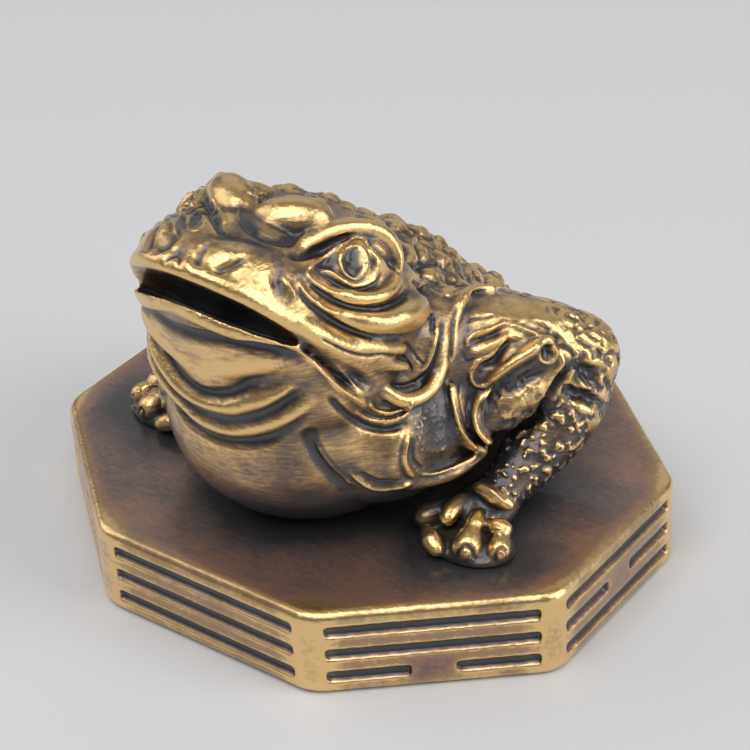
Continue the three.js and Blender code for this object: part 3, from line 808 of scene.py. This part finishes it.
def crust(relief, weight, size, height, share):
    """Flat-topped clumps of noise where weight is above 0."""
    found = np.flatnonzero(weight > 0)
    lumps = [noise.noise(Vector(p) / size) + 0.4 * noise.noise(Vector(p) * 2.3 / size)
             for p in relief.points[found].tolist()]
    tops = weight[found] * np.clip((np.array(lumps) + share) * 4, 0, 1)
    relief.raised[found] = np.maximum(relief.raised[found], height * tops)
    relief.rubbed[found] = np.maximum(relief.rubbed[found], CRUST_RUB * tops)
    relief.grimy[found] = np.maximum(relief.grimy[found], CRUST_GRIME * (weight[found] - tops))


def inside_ball(relief, centre, radius, edge):
    """1 inside a ball on either side of the figure and 0 past a soft edge around it."""
    mirrored = np.abs(relief.points * (1, 0, 0)) + relief.points * (0, 1, 1)
    apart = np.linalg.norm(mirrored - centre, axis=1)
    return np.clip((radius - apart) / edge + 1, 0, 1)


x, y, z = relief.points.T
out, up = np.abs(x), relief.normals[:, 2]
back = (y > -9.5 + 0.35 * out) & (up > 0.1) & (z > 9) & (out < 18)
rump = (y > 8) & (z > 3) & (out < 24)
warty = back | rump
print("big warts:", warts(relief, warty, **BIG_WARTS))
print("small warts:", warts(relief, warty, **SMALL_WARTS))
forearm = np.maximum(inside_ball(relief, (29.5, 2.5, 9), 6.5, 2),
                     inside_ball(relief, (28.5, -2.5, 6), 4, 1.5))
elbow = np.maximum(inside_ball(relief, (31, 13, 15), 8, 3),
                   inside_ball(relief, (29, 15, 22), 6, 3))
panel = inside_ball(relief, relief.under([PANEL_PIXEL])[0], 3.5, 1)
inner_arm = inside_ball(relief, relief.under([INNER_ARM_PIXEL])[0], 3.2, 1.5)
for weight, size, height, share in ((forearm, 0.95, 0.35, -0.1),
                                    (elbow * (forearm < 0.5), 1.25, 0.3, 0.2),
                                    (panel, 0.6, 0.15, -0.25),
                                    (inner_arm, 1.3, 0.3, 0.15),
                                    (0.6 * warty, 0.9, 0.3, -0.1)):
    crust(relief, weight, size, height, share)
relief.film += WARTY_FILM * warty
relief.carve()
# The kept value also carries the film rows, with their painted shade and highlights.
carved = relief.grimy - RUBBED_SHARE * relief.rubbed
carved += np.clip(relief.film, LEAST_FILM, MOST_FILM)

# %% [markdown]
# The patina follows the shape. Three measures are worked out for every vertex and kept as
# attributes that the material reads: how far the vertex lies below its close surroundings
# (the fine hollows), the same for wide surroundings, and how much open air it sees. Less open
# air darkens the finish: in recesses this stands for patina that the polishing could not
# reach, and under the figure, where the ground blocks the rays, it is painted shade. The
# lowest 1.6 mm count as closed in, which paints shade where the toad meets the plinth. A
# fourth value keeps what the strokes, warts, crust and film left behind, and with the film
# rows also painted shade and highlights.

# %% Measure hollows and open air, with painted shade
GRAZING = 0.05
LIFT_OFF = 0.05


def blurred(piece, values, rounds):
    """The values after so many rounds of averaging each vertex with its neighbours."""
    edges = np.zeros(len(piece.data.edges) * 2, np.int32)
    piece.data.edges.foreach_get("vertices", edges)
    a, b = edges[::2], edges[1::2]
    count = len(piece.data.vertices)
    links = np.bincount(a, minlength=count) + np.bincount(b, minlength=count)
    for _ in range(rounds):
        total = [np.bincount(a, values[b, k], count) + np.bincount(b, values[a, k], count)
                 for k in range(values.shape[1])]
        values = (values + (np.array(total) / links).T) / 2
    return values


def hollows(piece, rounds):
    """How far each vertex lies below the skin blurred by so many rounds, along its normal."""
    points = read_vectors(piece.data.vertices, "co")
    normals = read_vectors(piece.data.vertices, "normal")
    return np.einsum("ij,ij->i", blurred(piece, points, rounds) - points, normals)


def open_air(piece, ground, rays, reach):
    """The share of rays from each vertex that meet neither the piece nor the ground."""
    tree = BVHTree.FromObject(piece, bpy.context.evaluated_depsgraph_get())
    golden = math.pi * (3 - math.sqrt(5))
    k = np.arange(rays)
    z = 1 - (2 * k + 1) / rays
    sphere = np.column_stack((np.sqrt(1 - z * z) * np.cos(golden * k),
                              np.sqrt(1 - z * z) * np.sin(golden * k), z))
    seen = np.zeros(len(piece.data.vertices))
    for i, vertex in enumerate(piece.data.vertices):
        normal = np.array(vertex.normal)
        weight = sphere @ normal
        start = vertex.co + vertex.normal * LIFT_OFF
        for direction in sphere[weight > GRAZING]:
            way = Vector(direction)
            # A ray that meets the ground counts as blocked, so the skin under the figure is painted
            # darker, as shade.
            if way.z < 0 and (start.z - ground) / -way.z < reach:
                continue
            if tree.ray_cast(start, way, reach)[0] is None:
                seen[i] += direction @ normal
        seen[i] /= weight[weight > GRAZING].sum()
    return seen


def keep_values(piece, name, values):
    attribute = piece.data.attributes.new(name, "FLOAT", "POINT")
    attribute.data.foreach_set("value", values.astype(np.float32))


def nearest_vertices(source, points):
    """The number of the source's nearest vertex for each point."""
    tree = KDTree(len(source.data.vertices))
    for i, vertex in enumerate(source.data.vertices):
        tree.insert(vertex.co, i)
    tree.balance()
    return [tree.find(p)[1] for p in points.tolist()]


def copy_of(piece, name):
    made = bpy.data.objects.new(name, piece.data.copy())
    bpy.context.scene.collection.objects.link(made)
    return made


def thin_out(piece, most):
    """Collapses the flattest triangles until at most so many are left."""
    faces = sum(len(p.vertices) - 2 for p in piece.data.polygons)
    if faces > most:
        fewer = piece.modifiers.new("thin out", "DECIMATE")
        fewer.ratio = most / faces
        fewer.use_collapse_triangulate = True
        bake_modifiers(piece)
    return piece


BASE_SHADE_HEIGHT = 1.6
DARKEST_BASE_SHADE = 0.2
COARSE_VOXEL, COARSE_ROUNDS = 1.2, 2
MOST_TOAD_FACES = 190000
BLOCK_SIZE = 200

fine_skin = copy_of(toad, "fine_skin")
coarse_skin = one_skin(copy_of(toad, "coarse_skin"), COARSE_VOXEL, COARSE_ROUNDS)
thin_out(toad, MOST_TOAD_FACES)
below = bmesh.new()
bmesh.ops.create_cube(below, size=BLOCK_SIZE, matrix=Matrix.Translation((0, 0, -BLOCK_SIZE / 2)))
cut_away(toad, mesh_object(below, "below"))
places = read_vectors(toad.data.vertices, "co")
fine_hollow = hollows(fine_skin, rounds=10)
wide_hollow = hollows(fine_skin, rounds=90)
air = open_air(coarse_skin, ground=0, rays=48, reach=40)
air = blurred(coarse_skin, air[:, None], rounds=1)[:, 0]
near_fine = nearest_vertices(fine_skin, places)
near_coarse = nearest_vertices(coarse_skin, places)
# Painted shade: the open-air value is scaled down to a fifth at the base, so the skin darkens where the
# toad meets the plinth.
base_shade = np.clip(places[:, 2] / BASE_SHADE_HEIGHT, DARKEST_BASE_SHADE, 1)
keep_values(toad, "hollow", fine_hollow[near_fine])
keep_values(toad, "wide_hollow", wide_hollow[near_fine])
keep_values(toad, "air", air[near_coarse] * base_shade)
keep_values(toad, "carved", carved[near_fine])
for name, values in (("hollow", fine_hollow), ("wide hollow", wide_hollow), ("air", air)):
    print(name, np.percentile(values, (1, 10, 50, 90, 99)).round(3))
bpy.data.objects.remove(fine_skin)
bpy.data.objects.remove(coarse_skin)
toad.data.transform(Matrix.Translation((0, 0, toad_low.z)) @ Matrix.Scale(toad_scale, 4))
toad.data.polygons.foreach_set("use_smooth", [True] * len(toad.data.polygons))
print("toad:", len(toad.data.polygons), "faces")

# %% [markdown]
# The plinth is a cast slab with eight sides and soft corners. Each side shows one of the
# eight trigrams: three rows of sunken bars, whole or broken in the middle. A circle of eight
# corners is extruded into the slab, its edges are bevelled, and the bars are cut out.

# %% Plinth slab and trigram bars
MM = 0.001
CORNER_ROUND = 2.2 * MM
RIM_ROUND = 1.3 * MM
BAR_HEIGHT = 1.7 * MM
BAR_PITCH = 3.9 * MM
BAR_DEPTH = 0.8 * MM
BAR_SHARE = 0.86
BREAK_SHARE = 0.21
PLINTH_VOXEL = 0.3 * MM
TRIGRAMS = ("111", "110", "101", "100", "000", "001", "010", "011")

plinth_size = plinth_high - plinth_low
plinth_half = Vector((plinth_size.x / 2, plinth_size.y / 2, 0))


def plinth_corner(k):
    """Corner k of the slab, from the front side's right one round by the toad's left."""
    angle = math.radians(45 * k - 112.5)
    reach = 1 / math.cos(math.pi / 8)
    return Vector((plinth_half.x * math.cos(angle), plinth_half.y * math.sin(angle), 0)) * reach


def plinth_slab():
    bm = bmesh.new()
    stretch = Matrix.Diagonal((plinth_half.x, plinth_half.y, 1, 1))
    bmesh.ops.create_circle(bm, cap_ends=True, segments=8, radius=1 / math.cos(math.pi / 8),
                            matrix=stretch @ Matrix.Rotation(math.radians(22.5), 4, "Z"))
    top = bmesh.ops.extrude_face_region(bm, geom=bm.faces[:])["geom"]
    bmesh.ops.translate(bm, verts=[v for v in top if isinstance(v, bmesh.types.BMVert)],
                        vec=(0, 0, plinth_size.z))
    bmesh.ops.recalc_face_normals(bm, faces=bm.faces[:])
    upright = [e for e in bm.edges
               if abs(e.verts[0].co.z - e.verts[1].co.z) > plinth_size.z / 2]
    bmesh.ops.bevel(bm, geom=upright, offset=CORNER_ROUND, offset_type="OFFSET", segments=4,
                    profile=0.5, affect="EDGES", material=-1)
    rims = [e for e in bm.edges if e.verts[0].co.z == e.verts[1].co.z
            and any(abs(f.normal.z) > 0.9 for f in e.link_faces)]
    bmesh.ops.bevel(bm, geom=rims, offset=RIM_ROUND, offset_type="OFFSET", segments=3,
                    profile=0.5, affect="EDGES", material=-1)
    return mesh_object(bm, "plinth_slab")


def bar(bm, middle, along, offset, length, height):
    """One box to cut: offset along the side from its middle, length and height."""
    place = (Matrix.Translation(middle + along * offset + Vector((0, 0, height)))
             @ Matrix.Rotation(math.atan2(along.y, along.x), 4, "Z")
             @ Matrix.Diagonal((length, BAR_DEPTH * 2, BAR_HEIGHT, 1)))
    bmesh.ops.create_cube(bm, size=1, matrix=place)


def trigram_bars():
    bm = bmesh.new()
    for side, rows in enumerate(TRIGRAMS):
        start, end = plinth_corner(side), plinth_corner(side + 1)
        along = (end - start).normalized()
        length = (end - start).length * BAR_SHARE
        middle = (start + end) / 2
        gap = length * BREAK_SHARE
        for k, row in enumerate(rows):
            height = plinth_size.z / 2 + (1 - k) * BAR_PITCH
            if row == "1":
                bar(bm, middle, along, 0, length, height)
            else:
                for way in (-1, 1):
                    offset = way * (length + gap) / 4
                    bar(bm, middle, along, offset, (length - gap) / 2, height)
    return mesh_object(bm, "bars")


plinth = one_skin(cut_away(plinth_slab(), trigram_bars()), PLINTH_VOXEL, 2)
print("plinth:", len(plinth.data.vertices), "vertices")

# %% [markdown]
# A cast slab is never quite flat. Slow noise bends its faces by a few hundredths of a
# millimetre. The same measures as on the toad tell the finish where brass should shine
# through. Two more say how close the upright corners are, which are touched the most, and how
# close the toad is: the top is darkened around the toad as a painted shadow.

# %% Wear on the plinth, and a painted shadow around the toad
CORNER_WEAR = 3.5 * MM
CORNER_SHINE = 1.6
TOAD_SHADOW_REACH = 11 * MM
MOST_PLINTH_FACES = 150000

roughen(plinth, slow=6 * MM, slow_height=0.05 * MM, fine=0.9 * MM, fine_height=0.02 * MM)
fine_hollow = hollows(plinth, rounds=5) / MM
wide_hollow = hollows(plinth, rounds=50) / MM
places = read_vectors(plinth.data.vertices, "co")
corners = np.array([plinth_corner(k) for k in range(8)])
apart = np.linalg.norm(places[:, None, :2] - corners[None, :, :2], axis=2).min(axis=1)
keep_values(plinth, "hollow", fine_hollow)
keep_values(plinth, "wide_hollow", wide_hollow)
keep_values(plinth, "corner", np.clip(CORNER_SHINE - apart / CORNER_WEAR, 0, 1))
# Painted shadow: the plinth is darkened the closer it lies to the toad, fading out 11 mm away.
toad_tree = BVHTree.FromObject(toad, bpy.context.evaluated_depsgraph_get())
apart = np.array([toad_tree.find_nearest(p)[3] for p in places.tolist()])
keep_values(plinth, "dirt", np.clip(1 - apart / TOAD_SHADOW_REACH, 0, 1) ** 2)
for name, values in (("hollow", fine_hollow), ("wide hollow", wide_hollow)):
    print(name, np.percentile(values, (1, 10, 50, 90, 99)).round(3))
thin_out(plinth, MOST_PLINTH_FACES)
plinth.data.polygons.foreach_set("use_smooth", [True] * len(plinth.data.polygons))
print("plinth:", len(plinth.data.polygons), "faces")

# %% [markdown]
# Shader maths reads best as plain sums. This small class wraps a socket: adding or
# multiplying two wrapped sockets adds the Math node that does it. Every other node comes
# from one method that sets the node up first and then fills its sockets.

# %% Shader sums as Python
class Value:
    """A socket of a finish that can be added, subtracted and multiplied in plain Python."""

    def __init__(self, finish, socket):
        self.finish = finish
        self.socket = socket

    def sum(self, operation, *others):
        inputs = dict(enumerate((self, *others)))
        return self.finish.node("Math", {"operation": operation}, inputs)

    def __add__(self, other):
        return self.sum("ADD", other)

    __radd__ = __add__

    def __mul__(self, other):
        return self.sum("MULTIPLY", other)

    __rmul__ = __mul__

    def __sub__(self, other):
        return self.sum("SUBTRACT", other)

    def __rsub__(self, other):
        return self * -1 + other

    def clamp(self):
        return self.finish.node("Clamp", {}, {"Value": self})


class Finish:
    """A material under construction."""

    def __init__(self, name):
        self.material = bpy.data.materials.new(name)
        self.material.use_nodes = True
        self.tree = self.material.node_tree
        self.tree.nodes.clear()
        self.place = self.node("TexCoord", {}, {}, "Object")

    def node(self, kind, settings, inputs, output=0):
        """Adds a node, sets it up, fills its sockets and gives back one output."""
        made = self.tree.nodes.new("ShaderNode" + kind)
        for name, value in settings.items():
            if name == "stops":
                ramp = made.color_ramp.elements
                while len(ramp) < len(value):
                    ramp.new(1)
                for stop, (at, colour) in zip(ramp, value):
                    stop.position = at
                    stop.color = (*colour, 1)
            else:
                setattr(made, name, value)
        for name, value in inputs.items():
            if isinstance(value, Value):
                self.tree.links.new(value.socket, made.inputs[name])
            else:
                made.inputs[name].default_value = value
        return Value(self, made.outputs[output])

    def shape(self, name):
        """One of the values kept on the mesh."""
        return self.node("Attribute", {"attribute_name": name}, {}, "Fac")

    def grain(self, scale, detail=3.0, stretch=(1, 1, 1)):
        """Noise on object coordinates, per metre, from 0 to 1."""
        place = self.node("Mapping", {}, {"Vector": self.place, "Scale": stretch})
        return self.node("TexNoise", {}, {"Vector": place, "Scale": scale, "Detail": detail})

    def patina(self, base, measures, grains):
        """A base, so much of each value kept on the mesh, and so much of each noise."""
        total = base
        for name, weight in measures.items():
            total = self.shape(name) * weight + total
        for grain, weight in grains:
            total = (grain - 0.5) * weight + total
        return total.clamp()

    def ramp(self, share, *stops):
        """A colour that runs through the stops, each a place from 0 to 1 and its colour."""
        return self.node("ValToRGB", {"stops": stops}, {"Fac": share}, "Color")

    def bump(self, height, distance):
        return self.node("Bump", {}, {"Height": height, "Distance": distance, "Strength": 1.0})

    def surface(self, inputs):
        shader = self.node("BsdfPrincipled", {}, inputs)
        end = self.tree.nodes.new("ShaderNodeOutputMaterial")
        self.tree.links.new(shader.socket, end.inputs["Surface"])
        return self.material


print("shader helpers are ready")

# %% [markdown]
# Old brass on this figure runs from pale gold where the wheel has polished it, through a
# thin brown film, to a nearly black crust in the hollows. One number, the patina, goes from
# 0 to 1 along that scale and steers colour, metal, roughness and coat together. The measures
# of the shape decide most of it, and noise keeps it uneven: mottling, grain and brush streaks.
# Part of it is painted light: the open-air measure paints shade under the figure and at its
# base, and the film rows paint shade in creases and highlights on some tops.

# %% Patinated brass of the toad
GOLD = (0.88, 0.60, 0.25)
BRONZE = (0.45, 0.29, 0.135)
BROWN = (0.20, 0.14, 0.092)
UMBER = (0.09, 0.07, 0.062)
BLACK = (0.045, 0.042, 0.046)
POLISHED = 0.3
COAT_ROUGHNESS = 0.2
TOAD_BUMP = 0.08 * MM
TOAD_FILM = 1.525
# Less open air adds patina, which under the figure and at its base is painted shade; the carved value
# carries the film rows' painted shade and highlights.
TOAD_MEASURES = {"hollow": 2.4, "wide_hollow": 1.0, "air": -1.3, "carved": 0.28}


def patinated_brass(name):
    finish = Finish(name)
    mottle = finish.grain(170, 5)
    fine = finish.grain(1500)
    streaks = finish.grain(500, stretch=(1, 1, 5))
    patina = finish.patina(TOAD_FILM, TOAD_MEASURES, ((mottle, 0.9), (fine, 0.25), (streaks, 0.7)))
    colour = finish.ramp(patina, (0.0, GOLD), (0.3, BRONZE), (0.55, BROWN), (0.8, UMBER),
                         (1.0, BLACK))
    return finish.surface({"Base Color": colour, "Metallic": 1 - patina * 0.4,
                           "Roughness": POLISHED + patina * 0.16,
                           "Normal": finish.bump(fine + streaks, TOAD_BUMP),
                           "Coat Weight": 0.55 + patina * 0.3, "Coat Roughness": COAT_ROUGHNESS})


toad.data.materials.clear()
toad.data.materials.append(patinated_brass("patinated_brass"))
print("toad finish:", len(toad.data.materials[0].node_tree.nodes), "nodes")

# %% [markdown]
# The plinth is darker. Its top keeps a reddish-brown patina that shows fine streaks from the
# brush, its sides are half rubbed through, and its rim and corners are bare gold. Around the
# toad its top is darkened further, as a painted shadow.

# %% Dark brass of the plinth
RED_BROWN = (0.34, 0.19, 0.13)
DARK_BROWN = (0.14, 0.10, 0.09)
PLINTH_BUMP = 0.05 * MM
PLINTH_FILM = 0.6
# The last measure is the painted shadow around the toad; the others are patina and wear.
PLINTH_MEASURES = {"hollow": 4, "wide_hollow": 1.5, "corner": -0.45, "dirt": 0.7}
PLINTH_COAT = 0.8


def dark_brass(name):
    finish = Finish(name)
    mottle = finish.grain(120, 4)
    fine = finish.grain(1300)
    streaks = finish.grain(300, stretch=(1, 6, 6))
    patina = finish.patina(PLINTH_FILM, PLINTH_MEASURES,
                           ((mottle, 0.6), (streaks, 0.3), (fine, 0.25)))
    colour = finish.ramp(patina, (0.0, GOLD), (0.25, BRONZE), (0.5, RED_BROWN),
                         (0.75, DARK_BROWN), (1.0, BLACK))
    return finish.surface({"Base Color": colour, "Metallic": 1 - patina * 0.7,
                           "Roughness": POLISHED + patina * 0.15,
                           "Normal": finish.bump(fine + streaks, PLINTH_BUMP),
                           "Coat Weight": PLINTH_COAT, "Coat Roughness": COAT_ROUGHNESS})


plinth.data.materials.clear()
plinth.data.materials.append(dark_brass("dark_brass"))
print("plinth finish:", len(plinth.data.materials[0].node_tree.nodes), "nodes")

# %% [markdown]
# Both pieces ride on the part's only body and stand for their solids.

# %% Pieces in the frame
for piece, node, slot in ((toad, "toad", "brass"), (plinth, "plinth", "dark_brass")):
    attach(piece, "root")
    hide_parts(node)
print("pieces ride on the root body")

# %% [markdown]
# The photograph looks as if large soft boxes stood overhead and to both sides, with a pale
# backdrop and a dim room around. Brass shows what it mirrors, so the size and place of these
# lights matter more than their power. Each is given by its azimuth and elevation in degrees,
# its distance, width and height in metres, and its radiance.

# %% Studio
DIM_ROOM = (0.14, 0.14, 0.145, 1)
FLOOR_GREY = (0.70, 0.70, 0.71, 1)
FLOOR_ROUGHNESS = 0.7

world = bpy.data.worlds.new("studio")
world.use_nodes = True
world.node_tree.nodes["Background"].inputs["Color"].default_value = DIM_ROOM
bpy.context.scene.world = world
for name, azimuth, elevation, away, width, height, radiance in (
    ("right", 105, 27, 1.5, 0.9, 1.5, 2.7),
    ("top", 17, 68, 1.2, 1.1, 1.1, 2.4),
    ("left", -75, 35, 1.5, 1.2, 1.2, 1.1),
    ("backdrop", -160, 32, 1.8, 2.6, 1.5, 0.35),
):
    turn, lift = math.radians(azimuth), math.radians(elevation)
    at = away * Vector((math.sin(turn) * math.cos(lift), -math.cos(turn) * math.cos(lift),
                        math.sin(lift)))
    lamp_data = bpy.data.lights.new(name, "AREA")
    lamp_data.shape = "RECTANGLE"
    lamp_data.size = width
    lamp_data.size_y = height
    lamp_data.energy = radiance * math.pi * width * height
    lamp = bpy.data.objects.new(name, lamp_data)
    bpy.context.scene.collection.objects.link(lamp)
    lamp.location = at
    lamp.rotation_euler = at.to_track_quat("Z", "Y").to_euler()
bm = bmesh.new()
bmesh.ops.create_grid(bm, x_segments=1, y_segments=1, size=3)
floor = mesh_object(bm, "floor")
paper = Finish("floor").surface({"Base Color": FLOOR_GREY, "Roughness": FLOOR_ROUGHNESS})
floor.data.materials.append(paper)
bpy.context.scene.view_settings.view_transform = "Standard"
